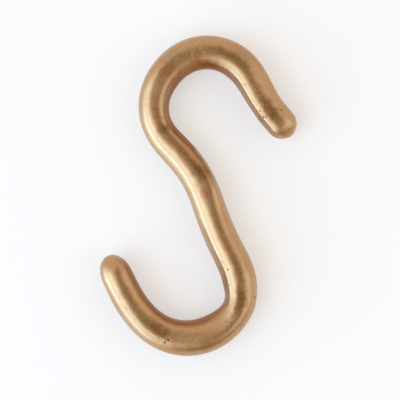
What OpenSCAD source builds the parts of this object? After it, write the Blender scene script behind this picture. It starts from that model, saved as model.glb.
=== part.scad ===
// S hook: one cast bar of round section, bent in one plane into two open hooks
// that face opposite ways. It lies flat, with the line of its load along +Y.
// The bends are given in the order in which the bar runs, from the lower tip,
// through the lower hook and the stem, over the upper hook to the upper tip.

/* [Lower tip] */
// Length of the domed end of the lower tip
lower_dome = 5.5; // [3:0.5:8]
// Diameter of the bar at the lower tip
lower_tip_d = 7.9; // [6:0.1:10]
// Straight run of the bar behind the lower tip
lower_tip_run = 4; // [0:0.5:8]

/* [Lower hook] */
// Angle of the rise, the slack bend of the lower hook's free arm
rise_angle = 21; // [10:1:35]
// Radius of the rise
rise_radius = 27; // [15:1:40]
// Diameter of the bar at the rise
rise_d = 8.1; // [6:0.1:10]
// Angle of the bowl, where the load hangs
bowl_angle = 106; // [90:1:120]
// Radius of the bowl
bowl_radius = 14.5; // [12:0.5:18]
// Diameter of the bar at the bowl, its stoutest place
bowl_d = 9; // [6:0.1:11]
// Angle of the heel, the tight turn out of the bowl
heel_angle = 25; // [10:1:35]
// Radius of the heel
heel_radius = 5; // [3:0.5:12]
// Diameter of the bar at the heel
heel_d = 7.8; // [6:0.1:10]
// Angle of the ankle, the bend between the heel and the calf
ankle_angle = 32; // [20:1:45]
// Radius of the ankle
ankle_radius = 18.5; // [12:0.5:25]
// Diameter of the bar at the ankle
ankle_d = 8.5; // [6:0.1:10]

/* [Stem] */
// Angle of the calf, the slight backward bend below the stem
calf_angle = 10; // [0:1:20]
// Radius of the calf
calf_radius = 70; // [40:5:100]
// Diameter of the bar at the calf
calf_d = 8.2; // [6:0.1:10]
// Length of the straight stem
stem_len = 4; // [0:0.5:20]
// Diameter of the stem
stem_d = 8; // [6:0.1:10]
// Lean of the stem away from the line of the load
stem_lean = 26.2; // [15:0.1:35]
// Angle of the neck, the bend between the stem and the shoulder
neck_angle = 29; // [15:1:40]
// Radius of the neck
neck_radius = 33; // [20:1:45]
// Diameter of the bar at the neck
neck_d = 8.1; // [6:0.1:10]

/* [Upper hook] */
// Angle of the shoulder, the turn from the neck into the back
shoulder_angle = 85; // [70:1:95]
// Radius of the shoulder
shoulder_radius = 12.3; // [10:0.1:15]
// Diameter of the bar at the shoulder, its thinnest place
shoulder_d = 7.5; // [6:0.1:10]
// Length of the straight back of the upper hook
back_len = 1.5; // [0:0.5:12]
// Diameter of the bar at the back
back_d = 8.2; // [6:0.1:10]
// Angle of the crown, which hangs on the rail
crown_angle = 117; // [100:1:130]
// Radius of the crown
crown_radius = 12.4; // [10:0.1:16]
// Diameter of the bar at the crown
crown_d = 8.5; // [6:0.1:10]
// Angle of the flare, which turns the upper tip outwards
flare_angle = 15; // [0:1:30]
// Radius of the flare
flare_radius = 50; // [30:1:60]
// Diameter of the bar at the flare
flare_d = 7.9; // [6:0.1:10]

/* [Upper tip] */
// Diameter of the bar at the upper tip
upper_tip_d = 7.6; // [6:0.1:10]
// Length of the domed end of the upper tip
upper_dome = 4; // [3:0.5:8]

/* [Flow] */
// Length of bar over which one bend eases into the next
ease_len = 6; // [3:0.5:10]

/* [Hidden] */

// Sides of the bar's section
SIDES = 32;
// Greatest distance between two sections along the bar
SECTION_GAP = 1.4;
// Sections in each domed end
DOME_SECTIONS = 6;
// Colour of the cast brass
BRASS = [0.75, 0.58, 0.38];

// A stretch of the bar: its length, the angle that it turns through, with a left
// turn positive, and its diameter half way along
function bend(angle, radius, d) = [radius * abs(angle) * PI / 180, angle, d];
function straight(length, d) = [length, 0, d];

LOWER_HOOK = [
    straight(lower_tip_run, lower_tip_d),
    bend(rise_angle, rise_radius, rise_d),
    bend(bowl_angle, bowl_radius, bowl_d),
    bend(heel_angle, heel_radius, heel_d),
    bend(ankle_angle, ankle_radius, ankle_d),
    bend(-calf_angle, calf_radius, calf_d)
];
UPPER_HOOK = [
    bend(neck_angle, neck_radius, neck_d),
    bend(-shoulder_angle, shoulder_radius, shoulder_d),
    straight(back_len, back_d),
    bend(-crown_angle, crown_radius, crown_d),
    bend(flare_angle, flare_radius, flare_d)
];
STRETCHES = concat(LOWER_HOOK, [straight(stem_len, stem_d)], UPPER_HOOK);
STEM = len(LOWER_HOOK);

// Where each stretch starts along the bar, and the length of them all
STARTS = [for (i = 0, s = 0; i < len(STRETCHES); s = s + STRETCHES[i][0], i = i + 1) s];
BAR_LEN = sum([for (stretch = STRETCHES) stretch[0]]);

function sum(values, i = 0) = i < len(values) ? values[i] + sum(values, i + 1) : 0;
function middle(i) = STARTS[i] + STRETCHES[i][0] / 2;
function unit(angle) = [cos(angle), sin(angle)];

// A turn grows evenly along its stretch. Its share at s is averaged over ease_len,
// so that the curvature rises and falls gently where two stretches meet.
function grown(x, length) = x <= 0 ? 0 : x < length ? x * x / (2 * length) : x - length / 2;
function share(x, length) = (grown(x + ease_len / 2, length) - grown(x - ease_len / 2, length)) / ease_len;
function turned(s) = sum([for (i = [0:len(STRETCHES) - 1])
    STRETCHES[i][1] * share(s - STARTS[i], STRETCHES[i][0])]);
function heading(s) = 90 + stem_lean + turned(s) - turned(middle(STEM));

// The diameter eases from the middle of one stretch to the middle of the next
GAUGES = concat(
    [for (i = [0:len(STRETCHES) - 1]) [middle(i), STRETCHES[i][2]]],
    [[BAR_LEN, upper_tip_d]]
);
function eased(x) = (1 - cos(180 * min(max(x, 0), 1))) / 2;
function bar_d(s) = lower_tip_d + sum([for (i = [1:len(GAUGES) - 1])
    (GAUGES[i][1] - GAUGES[i - 1][1]) * eased((s - GAUGES[i - 1][0]) / (GAUGES[i][0] - GAUGES[i - 1][0]))]);

// The centreline, walked in equal steps from the lower tip to the upper tip
STEPS = ceil(BAR_LEN / SECTION_GAP);
STEP = BAR_LEN / STEPS;
CENTRELINE = [for (i = 0, p = [0, 0]; i <= STEPS; p = p + STEP * unit(heading((i + 0.5) * STEP)), i = i + 1) p];

// A section of the bar: its centre, its heading and its radius
BAR = [for (i = [0:STEPS]) [CENTRELINE[i], heading(i * STEP), bar_d(i * STEP) / 2]];
LOWER_END = BAR[0];
UPPER_END = BAR[STEPS];

// A section of a domed end, at an angle from the dome's top
function dome_section(end, length, angle) =
    [end[0] + length * cos(angle) * unit(end[1]), end[1], end[2] * sin(angle)];
DOME_ANGLES = [for (i = [1:DOME_SECTIONS]) 90 * i / (DOME_SECTIONS + 1)];
SECTIONS = concat(
    [for (angle = DOME_ANGLES) dome_section(LOWER_END, -lower_dome, angle)],
    BAR,
    [for (angle = DOME_ANGLES) dome_section(UPPER_END, upper_dome, 90 - angle)]
);

// The skin's points: the top of the lower dome, every section's ring, and the top
// of the upper dome
function on_plane(point) = [point.x, point.y, 0];
function ring(section) = [for (j = [0:SIDES - 1])
    let (around = 360 * j / SIDES)
    on_plane(section[0] + section[2] * cos(around) * unit(section[1] + 90)) + [0, 0, section[2] * sin(around)]];
SKIN = concat(
    [on_plane(LOWER_END[0] - lower_dome * unit(LOWER_END[1]))],
    [for (section = SECTIONS) each ring(section)],
    [on_plane(UPPER_END[0] + upper_dome * unit(UPPER_END[1]))]
);

function at(i, j) = 1 + i * SIDES + j % SIDES;
LAST = len(SECTIONS) - 1;
FACES = concat(
    [for (j = [0:SIDES - 1]) [0, at(0, j), at(0, j + 1)]],
    [for (i = [0:LAST - 1], j = [0:SIDES - 1]) [at(i, j), at(i + 1, j), at(i + 1, j + 1)]],
    [for (i = [0:LAST - 1], j = [0:SIDES - 1]) [at(i, j), at(i + 1, j + 1), at(i, j + 1)]],
    [for (j = [0:SIDES - 1]) [len(SKIN) - 1, at(LAST, j + 1), at(LAST, j)]]
);

// The hook lies on its flat side, centred over the origin
LOW = [for (axis = [0:2]) min([for (point = SKIN) point[axis]])];
HIGH = [for (axis = [0:2]) max([for (point = SKIN) point[axis]])];

module hook() {
    color(BRASS)
        translate([-(LOW.x + HIGH.x) / 2, -(LOW.y + HIGH.y) / 2, -LOW.z])
            polyhedron(points = SKIN, faces = FACES, convexity = 4);
}

hook();
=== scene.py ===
import math

import bmesh
import bpy
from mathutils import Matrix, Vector, kdtree, noise


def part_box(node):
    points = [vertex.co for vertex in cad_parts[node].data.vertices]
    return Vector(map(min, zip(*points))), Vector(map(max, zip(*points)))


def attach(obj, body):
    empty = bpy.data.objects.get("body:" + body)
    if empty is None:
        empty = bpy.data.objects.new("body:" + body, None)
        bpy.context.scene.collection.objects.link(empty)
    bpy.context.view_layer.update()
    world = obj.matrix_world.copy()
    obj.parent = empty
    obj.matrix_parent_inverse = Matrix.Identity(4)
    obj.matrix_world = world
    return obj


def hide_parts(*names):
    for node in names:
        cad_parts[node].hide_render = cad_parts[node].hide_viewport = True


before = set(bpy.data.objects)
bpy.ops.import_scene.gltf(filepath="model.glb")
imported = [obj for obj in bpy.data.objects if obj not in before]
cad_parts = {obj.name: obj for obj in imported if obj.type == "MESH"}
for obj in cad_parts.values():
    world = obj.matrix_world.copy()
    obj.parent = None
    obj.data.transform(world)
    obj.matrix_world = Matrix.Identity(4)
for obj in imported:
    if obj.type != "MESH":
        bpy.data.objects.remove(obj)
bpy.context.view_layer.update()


# ---------------------------------------------------------------------------
# The hook: one solid casting in yellow brass, a round bar that swells and thins
# a little along its way, bent in one plane into an S. It is poured in sand, its
# skin is blasted and tumbled to a satin, and small gas pits stay open in it.
# ---------------------------------------------------------------------------
MM = 0.001
MOST_BAR_EDGES = 8        # at one point of the bar, and the top of a tip has more
SLANT = 4                 # degrees round the bar, from which an edge counts as slanted
LET_OUT = 1.0064          # makes up for the rounding of the mesh, which draws the bar in
SHOULDER = 0.045          # how far the bar's four shoulders stand out from a true round
SAME_POINT = 0.001        # mm

casting = bmesh.new()
casting.from_mesh(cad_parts["hook"].data)
straight = casting.verts.layers.float_vector.new("straight")
bmesh.ops.remove_doubles(casting, verts=casting.verts, dist=SAME_POINT * MM)
casting.verts.index_update()

# The rings of the bar, walked from the top of the lower tip to that of the upper tip
tips = [v for v in casting.verts if len(v.link_edges) > MOST_BAR_EDGES]
rings = [[min(tips, key=lambda v: v.co.y)]]
reached = set(rings[0])
while rings[-1]:
    beyond = {e.other_vert(v) for v in rings[-1] for e in v.link_edges} - reached
    reached |= beyond
    rings.append(sorted(beyond, key=lambda v: v.index))
rings.pop()

# Each point keeps its place on the bar as it was before it was bent: how far along,
# how far to the left of the centre line and how far above it
centres = [sum((v.co for v in ring), Vector()) / len(ring) for ring in rings]
ring_of = {}
along = 0.0
for i, ring in enumerate(rings):
    before, after = centres[max(i - 1, 0)], centres[min(i + 1, len(rings) - 1)]
    if i > 0:
        along += (centres[i] - before).length
    ahead = (after - before).normalized()
    left = Vector((-ahead.y, ahead.x, 0))
    for v in ring:
        out = v.co - centres[i]
        v[straight] = (along, out.dot(left), out.z)
        ring_of[v] = i
        round_bar = math.atan2(out.dot(left), out.z)
        v.co = centres[i] + out * LET_OUT * (1 + SHOULDER * math.sin(2 * round_bar) ** 2)


def is_slanted(edge):
    """True for an edge that cuts a square between two rings of the bar into triangles."""
    a, b = edge.verts
    if ring_of[a] == ring_of[b] or 1 in (len(rings[ring_of[a]]), len(rings[ring_of[b]])):
        return False
    turn = math.atan2(a[straight].y, a[straight].z) - math.atan2(b[straight].y, b[straight].z)
    return abs(math.sin(turn)) > math.sin(math.radians(SLANT))


slanted = [e for e in casting.edges if is_slanted(e)]
bmesh.ops.dissolve_edges(casting, edges=slanted, use_verts=False)
hook = bpy.data.objects.new("cast_hook", bpy.data.meshes.new("cast_hook"))
bpy.context.collection.objects.link(hook)
casting.to_mesh(hook.data)
casting.free()


def round_off(piece):
    """Halves the size of the piece's faces and rounds them, and keeps the result as its mesh."""
    rounding = piece.modifiers.new("rounding", "SUBSURF")
    rounding.levels = rounding.render_levels = 1
    bpy.context.view_layer.update()
    finished = piece.evaluated_get(bpy.context.evaluated_depsgraph_get())
    rounded = bpy.data.meshes.new_from_object(finished)
    piece.modifiers.clear()
    sharp, piece.data = piece.data, rounded
    bpy.data.meshes.remove(sharp)


round_off(hook)

# Marks in the skin. Places on the bar are in mm along it, from the lower tip, and in
# degrees round it, from its upper side and to the left
PITS = (                  # place, width mm, depth mm
    (13.5, -20, 0.40, 0.10), (24.0, -70, 0.35, 0.10), (25.5, -25, 0.60, 0.20),
    (26.0, -12, 0.60, 0.22), (28.0, -75, 0.45, 0.12), (29.5, -60, 0.45, 0.14),
    (43.2, -41, 0.45, 0.14), (47.5, -50, 0.30, 0.08), (49.0, -55, 0.65, 0.25),
    (49.6, 48, 0.40, 0.10), (51.2, 46, 0.40, 0.12), (52.0, 60, 0.45, 0.12),
    (52.4, 38, 0.45, 0.14), (56.7, 28, 0.48, 0.13), (59.2, 36, 0.45, 0.13),
    (70.5, 58, 0.35, 0.08), (98.7, -31, 0.45, 0.12), (137.0, -29, 0.45, 0.10),
    (144.4, -34, 0.40, 0.10), (146.0, -37, 0.50, 0.20), (146.4, -30, 0.45, 0.16),
    (147.3, 30, 0.55, 0.20),
)
FOLDS = (                 # place of one end, place of the other, width mm, depth mm
    (145.2, -68, 146.5, -53, 0.60, 0.32),
    (26.1, -14, 26.2, -8, 0.40, 0.16),
    (41.2, 8, 42.0, 2, 0.25, 0.12),
    (97.6, -38, 93.6, -67, 0.25, 0.06),
)
RIM = 0.25                # mm of finer mesh round a mark
FINE_CUTS = 3
STEP = 0.1                # mm between the points that a fold is pressed in at
FOLD_END = 0.35           # how wide and deep the arc of a fold ends, against its middle
FOLD_CUT = 0.1            # the share of that arc which is cut off at each end
BAR_RADIUS = 4.2          # mm, about that of the bar, to turn degrees round it into mm
NEIGHBOURS = 4            # the points of the mesh that a place on the skin is found between
ON_POINT = 0.01           # mm, so that a place right on a point doesn't weigh without end
REACH = 0.3               # mm, a little more than half the widest mark


def place(v):
    """A point's distance along the bar in mm and its turn round it in degrees."""
    return v[straight].x / MM, math.degrees(math.atan2(v[straight].y, v[straight].z))


skin = bmesh.new()
skin.from_mesh(hook.data)
straight = skin.verts.layers.float_vector["straight"]
skin.verts.ensure_lookup_table()
on_bar = kdtree.KDTree(len(skin.verts))
for v in skin.verts:
    far, turn = place(v)
    on_bar.insert((far, math.radians(turn) * BAR_RADIUS, 0), v.index)
on_bar.balance()


def on_skin(far, turn):
    """The place in space of a point on the skin, between the nearest points of the mesh."""
    near = on_bar.find_n((far, math.radians(turn) * BAR_RADIUS, 0), NEIGHBOURS)
    weights = [1 / (distance + ON_POINT) ** 2 for _, _, distance in near]
    total = sum(weights)
    return sum((skin.verts[i].co * w / total for (_, i, _), w in zip(near, weights)), Vector())


presses = []              # place in space, half width and depth, in metres
for far, turn, width, depth in PITS:
    presses.append((on_skin(far, turn), width / 2 * MM, depth * MM))
for far_a, turn_a, far_b, turn_b, width, depth in FOLDS:
    length = math.hypot(far_b - far_a, math.radians(turn_b - turn_a) * BAR_RADIUS)
    steps = math.ceil(length / STEP)
    for i in range(steps + 1):
        t = i / steps
        arc = FOLD_CUT + (1 - 2 * FOLD_CUT) * t
        taper = FOLD_END + (1 - FOLD_END) * math.sin(math.pi * arc)
        at = on_skin(far_a + (far_b - far_a) * t, turn_a + (turn_b - turn_a) * t)
        presses.append((at, width / 2 * MM * taper, depth * MM * taper))
pressed = kdtree.KDTree(len(presses))
for i, (at, _, _) in enumerate(presses):
    pressed.insert(at, i)
pressed.balance()


def near_mark(v, extra):
    """True for a point on a mark or within the extra distance of its edge."""
    around = pressed.find_range(v.co, REACH * MM + extra)
    return any(distance < presses[i][1] + extra for _, i, distance in around)


marked = {v for v in skin.verts if near_mark(v, RIM * MM)}
fine_edges = list({e for v in marked for f in v.link_faces for e in f.edges})
bmesh.ops.subdivide_edges(skin, edges=fine_edges, cuts=FINE_CUTS, use_grid_fill=True)
skin.to_mesh(hook.data)
skin.free()
round_off(hook)

# The bar isn't quite round, but swells and sinks a little here and there
SWELLS = (                # place, how far it spreads in mm and in degrees, height mm
    (16, -53, 8, 16, -0.20), (18, -90, 4, 20, 0.08), (23.5, 15, 5, 32, -0.40),
    (28, -90, 4, 20, 0.07), (29, 90, 5, 20, -0.10), (37.5, -26, 9, 16, 0.42),
    (38, 90, 2.5, 20, 0.12), (39, 38, 4.5, 28, -0.38), (44.5, 90, 2, 20, -0.16),
    (47.5, -90, 2, 20, 0.12), (48, 23, 4, 21, 0.42), (58, 66, 7.5, 13, -0.20),
    (62, 90, 10, 18, 0.12), (74, 90, 5, 18, 0.11), (78, -40, 3.5, 18, 0.42),
    (88, 53, 14, 24, -0.38), (89, 88, 4, 18, 0.25), (95.2, -32, 1.3, 20, -0.06),
    (96, 0, 14, 26, -0.30), (100, 83, 4, 14, 0.20), (107, -58, 14, 14, -0.35),
    (112, 37, 6.5, 17, 0.42), (117, 90, 5, 20, 0.08), (120, -66, 7, 13, 0.30),
    (123, -90, 4, 20, -0.09), (132.5, -90, 3, 20, 0.14), (135.5, 54, 8.5, 13, 0.40),
    (136, -11, 7, 28, 0.42), (138.5, 90, 3, 20, 0.10), (139, -90, 11, 20, -0.03),
    (139, -66, 11, 15, -0.10), (143, -90, 2.5, 20, -0.07), (143.5, -37, 8.5, 14, 0.30),
    (144, 88, 2, 24, -0.17), (149.5, 90, 2.5, 24, 0.15),
)


def swelling(far, turn):
    """How far the skin is raised, in mm, at its place on the bar."""
    raised = 0.0
    for at, side, spread, reach, height in SWELLS:
        round_bar = (turn - side + 180) % 360 - 180
        raised += height * math.exp(-0.5 * ((far - at) / spread) ** 2 - 0.5 * (round_bar / reach) ** 2)
    return raised


# The skin waves a little, as a casting's does, and the marks are pressed into it
WAVES = ((6.0, 0.03, 3), (3.2, 0.022, 11), (1.3, 0.005, 23))   # length mm, height mm, seed
DARK_DIP = 0.08           # mm, the depth from which a mark is coloured dark brown in full
skin = bmesh.new()
skin.from_mesh(hook.data)
straight = skin.verts.layers.float_vector["straight"]
hollow = skin.verts.layers.float.new("hollow")
skin.normal_update()
moves = []
for v in skin.verts:
    swell = 0.0
    for length, height, seed in WAVES:
        swell += height * noise.noise(v[straight] / (length * MM) + Vector((seed, 2 * seed, 0)))
    dip = 0.0
    for _, i, distance in pressed.find_range(v.co, REACH * MM):
        _, half, depth = presses[i]
        if distance < half:
            dip = max(dip, depth / MM * (1 - (distance / half) ** 2) ** 2)
    v[hollow] = min(1.0, dip / DARK_DIP)
    swell += swelling(*place(v))
    moves.append((v, v.normal * (swell - dip) * MM))
for v, move in moves:
    v.co += move
for face in skin.faces:
    face.smooth = True
skin.to_mesh(hook.data)
skin.free()

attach(hook, "root")
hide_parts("hook")

# Satin brass, mottled as a cast and tumbled skin is
BRASS = (0.513, 0.32, 0.171, 1)
RED_TONE = (0.484, 0.274, 0.138, 1)
OLIVE_TONE = (0.484, 0.32, 0.158, 1)
PALE_TONE = (0.542, 0.347, 0.196, 1)
MOTTLES = (               # tone, size of its spots in mm, detail, seed, where they start and are full
    (RED_TONE, 5.0, 2, 3, 0.45, 0.75),
    (OLIVE_TONE, 3.0, 3, 9, 0.5, 0.8),
    (PALE_TONE, 1.1, 2, 5, 0.5, 0.85),
    (RED_TONE, 0.6, 2, 15, 0.5, 0.85),
)
PIT_BROWN = (0.12, 0.06, 0.03, 1)
# A red-brown for painted shade, on the shaded side of the bends and in the darkening marks below
PAINTED_SHADE_RED = (0.329, 0.137, 0.054, 1)
PAINTED_SHADE_SIDES = (             # mm along the bar where the painted shade starts and is full, mm to the left, the same
    (66, 52, 2.2, 3.8),
    (86, 93, -2.3, -4.0),
)
BROWN = (0.25, 0.12, 0.04, 1)
ORANGE = (0.48, 0.262, 0.108, 1)
OLIVE = (0.37, 0.24, 0.112, 1)
FILM = (0.36, 0.28, 0.17, 1)
PAINTED_SHADE_AND_PATINA = (               # tone, place on the bar, half length mm, half width mm, strength; all but the grey-green film are painted shade and painted reflection
    (BROWN, 22.8, 3, 5.0, 2.1, 0.9), (BROWN, 48.3, 0, 5.0, 1.9, 1.0),
    (PAINTED_SHADE_RED, 57, -2, 6.0, 1.4, 0.5), (PAINTED_SHADE_RED, 77.5, -4, 4.0, 1.8, 0.7),
    (BROWN, 82.2, -27, 4.2, 3.2, 0.95), (PAINTED_SHADE_RED, 88.5, -7, 6.0, 1.6, 0.7),
    (BROWN, 95.2, -25, 1.7, 3.0, 1.0), (PAINTED_SHADE_RED, 90, -60, 7.0, 2.2, 1.0),
    (PAINTED_SHADE_RED, 98.5, -9, 3.5, 1.5, 0.5), (PAINTED_SHADE_RED, 112, -60, 8.0, 2.2, 1.0),
    (PAINTED_SHADE_RED, 114, 3, 7.0, 1.4, 0.4), (PAINTED_SHADE_RED, 128.5, 3, 9.0, 1.5, 0.7),
    (PAINTED_SHADE_RED, 124, -55, 6.0, 2.0, 1.0), (PAINTED_SHADE_RED, 120.8, -30, 2.5, 2.4, 0.6),
    (BROWN, 146.2, -1, 4.0, 1.9, 0.9), (PAINTED_SHADE_RED, 152.5, -30, 2.0, 1.5, 0.5),
    (BROWN, 29, 14, 5.0, 1.2, 0.35), (PAINTED_SHADE_RED, 141, -38, 11, 3.5, 0.18),
    (PAINTED_SHADE_RED, 12, 62, 10, 2.0, 0.5), (ORANGE, 87.5, -38, 5.0, 1.8, 0.9),
    (OLIVE, 13, 2, 8.0, 1.6, 0.9), (OLIVE, 32.5, -31, 6.5, 1.5, 1.0),
    (OLIVE, 37, 0, 2.5, 1.4, 0.5), (FILM, 59, -5, 1.2, 0.9, 0.5),
    (FILM, 62, -50, 2.0, 0.8, 0.5), (FILM, 78.2, -39, 2.2, 0.7, 1.0),
    (FILM, 104.5, -31, 2.0, 0.7, 0.9), (FILM, 107.5, -40, 3.0, 0.8, 0.6),
    (FILM, 114.7, 32, 2.0, 1.2, 0.9), (FILM, 131.3, 36, 3.0, 2.0, 0.8),
    (OLIVE, 55, 0, 7.0, 1.4, 0.5), (OLIVE, 68, -8, 8.0, 1.4, 0.45),
    (OLIVE, 89, -8, 8.0, 1.6, 0.6), (OLIVE, 104, 0, 6.0, 1.4, 0.4),
    (OLIVE, 115, 4, 8.0, 1.5, 0.6), (OLIVE, 130, 1, 8.0, 1.5, 0.6),
    (OLIVE, 142, 2, 5.0, 1.4, 0.5), (BROWN, 89, -64, 5.0, 1.8, 0.7),
)
PATCH_SIZE = 0.7          # mm, the size of a mark's patches
PATCHY = 0.65             # how strong a mark still is where its patches are faint
EDGE_WANDER = 1.8         # mm, from one wander of a mark's edge to the next
RAGGED = 0.35             # how far a mark's edge wanders, against its size
FADE = 1.25               # where a mark has faded away, against its size
POLISHED, BLASTED = 0.27, 0.5   # roughness of the two kinds of spot in the skin
SPOT = 0.09               # mm, the size of a polished or a blasted spot
POLISHED_TO, BLASTED_FROM = 0.44, 0.6   # how the noise is shared between the two
GRAIN, GRAIN_DEPTH = 0.45, 0.004        # mm
BRUSHED = (36, 0, 15, 5)  # place on the bar, half length mm, half width mm
BRUSHING, BRUSHING_DEPTH = 0.5, 0.012   # mm
STREAK = 0.15             # how wide a brush mark is, against its length

brass = bpy.data.materials.new("satin_brass")
brass.use_nodes = True
nodes, links = brass.node_tree.nodes, brass.node_tree.links
shader = nodes["Principled BSDF"]
shader.inputs["Metallic"].default_value = 1.0

on_bar_mm = nodes.new("ShaderNodeMapping")
on_bar_mm.inputs["Scale"].default_value = (1 / MM, 1 / MM, 1 / MM)
bar_place = nodes.new("ShaderNodeAttribute")
bar_place.attribute_name = "straight"
links.new(bar_place.outputs["Vector"], on_bar_mm.inputs["Vector"])


def cloud(size, detail, squash=(1, 1, 1), offset=0.0):
    """Soft noise on the straightened bar, with spots about size mm across."""
    shaped = nodes.new("ShaderNodeMapping")
    shaped.inputs["Location"].default_value = (offset, offset, offset)
    shaped.inputs["Scale"].default_value = tuple(s / size for s in squash)
    links.new(on_bar_mm.outputs["Vector"], shaped.inputs["Vector"])
    spots = nodes.new("ShaderNodeTexNoise")
    spots.inputs["Scale"].default_value = 1.0
    spots.inputs["Detail"].default_value = detail
    links.new(shaped.outputs["Vector"], spots.inputs["Vector"])
    return spots.outputs["Fac"]


def between(value, low, high, to_low=0.0, to_high=1.0):
    """The value stretched so that low gives to_low and high gives to_high."""
    stretch = nodes.new("ShaderNodeMapRange")
    stretch.interpolation_type = "SMOOTHSTEP"
    for name, number in zip(("From Min", "From Max", "To Min", "To Max"), (low, high, to_low, to_high)):
        stretch.inputs[name].default_value = number
    links.new(value, stretch.inputs["Value"])
    return stretch.outputs["Result"]


def tint(under, over, amount):
    """The under colour, turned into the over colour by the amount."""
    mixing = nodes.new("ShaderNodeMix")
    mixing.data_type = "RGBA"
    for socket, colour in ((mixing.inputs["A"], under), (mixing.inputs["B"], over)):
        if isinstance(colour, tuple):
            socket.default_value = colour
        else:
            links.new(colour, socket)
    links.new(amount, mixing.inputs["Factor"])
    return mixing.outputs["Result"]


def times(a, b):
    """One value times another."""
    product = nodes.new("ShaderNodeMath")
    product.operation = "MULTIPLY"
    links.new(a, product.inputs[0])
    links.new(b, product.inputs[1])
    return product.outputs["Value"]


ragged = between(cloud(EDGE_WANDER, 3, offset=61), 0.25, 0.75, -RAGGED, RAGGED)


def soft_mark(far, turn, half_length, half_width):
    """1 at a place on the skin, and 0 from about its half length and half width away."""
    turn = math.radians(turn)
    middle = (far, BAR_RADIUS * math.sin(turn), BAR_RADIUS * math.cos(turn))
    reaches = (half_length, half_width, half_width)
    shaped = nodes.new("ShaderNodeMapping")
    shaped.inputs["Location"].default_value = tuple(-m / r for m, r in zip(middle, reaches))
    shaped.inputs["Scale"].default_value = tuple(1 / r for r in reaches)
    links.new(on_bar_mm.outputs["Vector"], shaped.inputs["Vector"])
    away = nodes.new("ShaderNodeVectorMath")
    away.operation = "LENGTH"
    links.new(shaped.outputs["Vector"], away.inputs[0])
    uneven = nodes.new("ShaderNodeMath")
    uneven.operation = "ADD"
    links.new(away.outputs["Value"], uneven.inputs[0])
    links.new(ragged, uneven.inputs[1])
    return between(uneven.outputs["Value"], 0.0, FADE, 1.0, 0.0)


colour = BRASS
for tone, size, detail, seed, start, full in MOTTLES:
    colour = tint(colour, tone, between(cloud(size, detail, offset=seed), start, full))

# Painted shade: the side of each bend that lies in shade is coloured redder and darker, the left side
# of the lower bend, up to the stem, and the right side of the upper one, from the stem on
bar_axes = nodes.new("ShaderNodeSeparateXYZ")
links.new(on_bar_mm.outputs["Vector"], bar_axes.inputs["Vector"])
far_mm, left_mm = bar_axes.outputs["X"], bar_axes.outputs["Y"]
for far_from, far_to, edge_from, edge_to in PAINTED_SHADE_SIDES:
    side = times(between(far_mm, far_from, far_to), between(left_mm, edge_from, edge_to))
    colour = tint(colour, PAINTED_SHADE_RED, side)

# Marks: the brown, red-brown, olive and orange ones are painted shade and painted reflection. They
# darken the band along the top of the bar where the dim room overhead is reflected, the rims on the
# shaded side, a crease, the bend at the neck and the tip. The thin grey-green film in spots is the
# brass's own patina
patchy = between(cloud(PATCH_SIZE, 3, offset=41), 0.3, 0.6)
for tone, far, turn, half_length, half_width, strength in PAINTED_SHADE_AND_PATINA:
    patches = between(patchy, 0, 1, PATCHY * strength, strength)
    colour = tint(colour, tone, times(soft_mark(far, turn, half_length, half_width), patches))
# Pits and folds are coloured dark brown, the more the deeper they are pressed in
hollows = nodes.new("ShaderNodeAttribute")
hollows.attribute_name = "hollow"
colour = tint(colour, PIT_BROWN, hollows.outputs["Fac"])
links.new(colour, shader.inputs["Base Color"])

# Close up, the skin is a mix of polished and blasted spots, the polished ones a little more
spots = cloud(SPOT, 0, offset=27)
satin = between(spots, POLISHED_TO, BLASTED_FROM, POLISHED, BLASTED)
links.new(satin, shader.inputs["Roughness"])

# A fine grain all over, and fine brushing across the bar at the foot of the lower bend
grain = nodes.new("ShaderNodeBump")
grain.inputs["Strength"].default_value = 1.0
grain.inputs["Distance"].default_value = GRAIN_DEPTH * MM
links.new(cloud(GRAIN, 2, offset=33), grain.inputs["Height"])
brushing = nodes.new("ShaderNodeBump")
brushing.inputs["Strength"].default_value = 1.0
brushing.inputs["Distance"].default_value = BRUSHING_DEPTH * MM
across = cloud(BRUSHING, 2, squash=(1, STREAK, STREAK), offset=51)
links.new(times(across, soft_mark(*BRUSHED)), brushing.inputs["Height"])
links.new(grain.outputs["Normal"], brushing.inputs["Normal"])
links.new(brushing.outputs["Normal"], shader.inputs["Normal"])

hook.data.materials.clear()
hook.data.materials.append(brass)

# ---------------------------------------------------------------------------
# The table: a wide sheet of white acrylic with a satin face, which the hook lies
# on. Where the camera, metal or glass sees it, it is turned part of the way to
# plain white, so that the hook's shadow is there, but pale.
# ---------------------------------------------------------------------------
ACRYLIC = (0.95, 0.95, 0.95, 1)
WHITENED = 0.45           # how far the sheet is turned to white where it is seen
SHEET_REACH = 2.0         # metres from the middle to each side
table = bpy.data.objects.new("table", bpy.data.meshes.new("table"))
bpy.context.collection.objects.link(table)
sheet = bmesh.new()
bmesh.ops.create_grid(sheet, x_segments=1, y_segments=1, size=SHEET_REACH)
sheet.to_mesh(table.data)
sheet.free()
acrylic = bpy.data.materials.new("white_acrylic")
acrylic.use_nodes = True
nodes, links = acrylic.node_tree.nodes, acrylic.node_tree.links
lit = nodes["Principled BSDF"]
lit.inputs["Base Color"].default_value = ACRYLIC
lit.inputs["Roughness"].default_value = 0.2
lit.inputs["IOR"].default_value = 1.8
lit.inputs["Specular IOR Level"].default_value = 1.0
rays = nodes.new("ShaderNodeLightPath")
seen = rays.outputs["Is Camera Ray"]
for kind in ("Is Glossy Ray", "Is Transmission Ray"):
    either = nodes.new("ShaderNodeMath")
    either.operation = "MAXIMUM"
    links.new(seen, either.inputs[0])
    links.new(rays.outputs[kind], either.inputs[1])
    seen = either.outputs["Value"]
whitened = nodes.new("ShaderNodeMath")
whitened.operation = "MULTIPLY"
whitened.inputs[1].default_value = WHITENED
links.new(seen, whitened.inputs[0])
white = nodes.new("ShaderNodeEmission")
white.inputs["Strength"].default_value = 1.0
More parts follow.
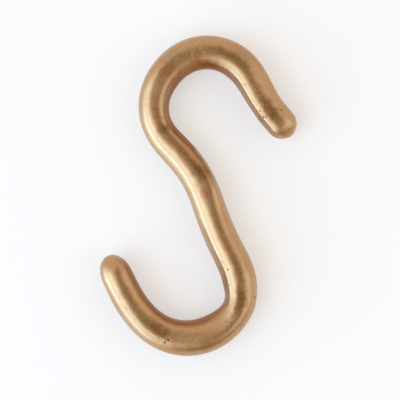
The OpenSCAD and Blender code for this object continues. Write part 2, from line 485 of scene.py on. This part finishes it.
face = nodes.new("ShaderNodeMixShader")
links.new(whitened.outputs["Value"], face.inputs["Fac"])
links.new(lit.outputs["BSDF"], face.inputs[1])
links.new(white.outputs["Emission"], face.inputs[2])
links.new(face.outputs["Shader"], nodes["Material Output"].inputs["Surface"])
table.data.materials.append(acrylic)

# ---------------------------------------------------------------------------
# The light: a pale warm room that is dim and brown overhead and in front, with a
# large soft window light on the left and a smaller one on the right.
# ---------------------------------------------------------------------------
ROOM = (1.0, 0.87, 0.76, 1)
PATCHES = (               # azimuth, elevation, full within, gone beyond, colour, whether it adds
    ("zenith", 330, 84, 17, 25, (0.35, 0.17, 0.0, 1), False),
    ("overhead", 70, 65, 9, 17, (0.22, 0.14, 0.0, 1), False),
    ("front", 304, 16, 37, 45, (0.6, 0.43, 0.24, 1), False),
    ("window", 208, 25, 27, 45, (0.64, 1.28, 2.15, 1), True),
    ("low_window", 214, -10, 2, 42, (1.86, 3.01, 4.17, 1), True),
    ("high_window", 205, 60, 14, 22, (1.03, 1.47, 1.79, 1), True),
    ("side_light", 355, 40, 23, 31, (0.43, 0.63, 0.83, 1), True),
)
room = bpy.data.worlds.new("room")
bpy.context.scene.world = room
room.use_nodes = True
nodes, links = room.node_tree.nodes, room.node_tree.links
direction = nodes.new("ShaderNodeTexCoord").outputs["Generated"]
light = None
for name, azimuth, elevation, full, gone, patch_colour, adds in PATCHES:
    azimuth, elevation = math.radians(azimuth), math.radians(elevation)
    flat = math.cos(elevation)
    towards = nodes.new("ShaderNodeVectorMath")
    towards.operation = "DOT_PRODUCT"
    middle = (flat * math.cos(azimuth), flat * math.sin(azimuth), math.sin(elevation))
    towards.inputs[1].default_value = middle
    links.new(direction, towards.inputs[0])
    gone, full = math.cos(math.radians(gone)), math.cos(math.radians(full))
    mask = between(towards.outputs["Value"], gone, full)
    mixing = nodes.new("ShaderNodeMix")
    mixing.name = name
    mixing.data_type = "RGBA"
    mixing.blend_type = "ADD" if adds else "MIX"
    mixing.inputs["A"].default_value = ROOM
    if light:
        links.new(light, mixing.inputs["A"])
    mixing.inputs["B"].default_value = patch_colour
    links.new(mask, mixing.inputs["Factor"])
    light = mixing.outputs["Result"]
links.new(light, nodes["Background"].inputs["Color"])
nodes["Background"].inputs["Strength"].default_value = 1.0

# ---------------------------------------------------------------------------
# The camera looks straight down from above with a long lens, turned so that the
# hook leans to the right, with its lower tip on the left.
# ---------------------------------------------------------------------------
VIEW_WIDTH = 100          # mm, at half the height of the bar
AIM_X, AIM_Y = 0.54, -0.97   # mm from the middle of the hook to where the camera looks
LEAN = 6.8                # degrees
SENSOR = 36.0             # mm
LENS = 150.0              # mm
camera_data = bpy.data.cameras.new("camera")
camera_data.sensor_width = SENSOR
camera_data.lens = LENS
camera_data.clip_start = 0.01
camera = bpy.data.objects.new("camera", camera_data)
bpy.context.collection.objects.link(camera)
low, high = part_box("hook")
middle = (Vector(low) + Vector(high)) / 2
above = VIEW_WIDTH * LENS / SENSOR
camera.location = middle + Vector((AIM_X, AIM_Y, above)) * MM
camera.rotation_euler = (0, 0, math.radians(LEAN))
bpy.context.scene.camera = camera
bpy.context.scene.view_settings.view_transform = "Standard"
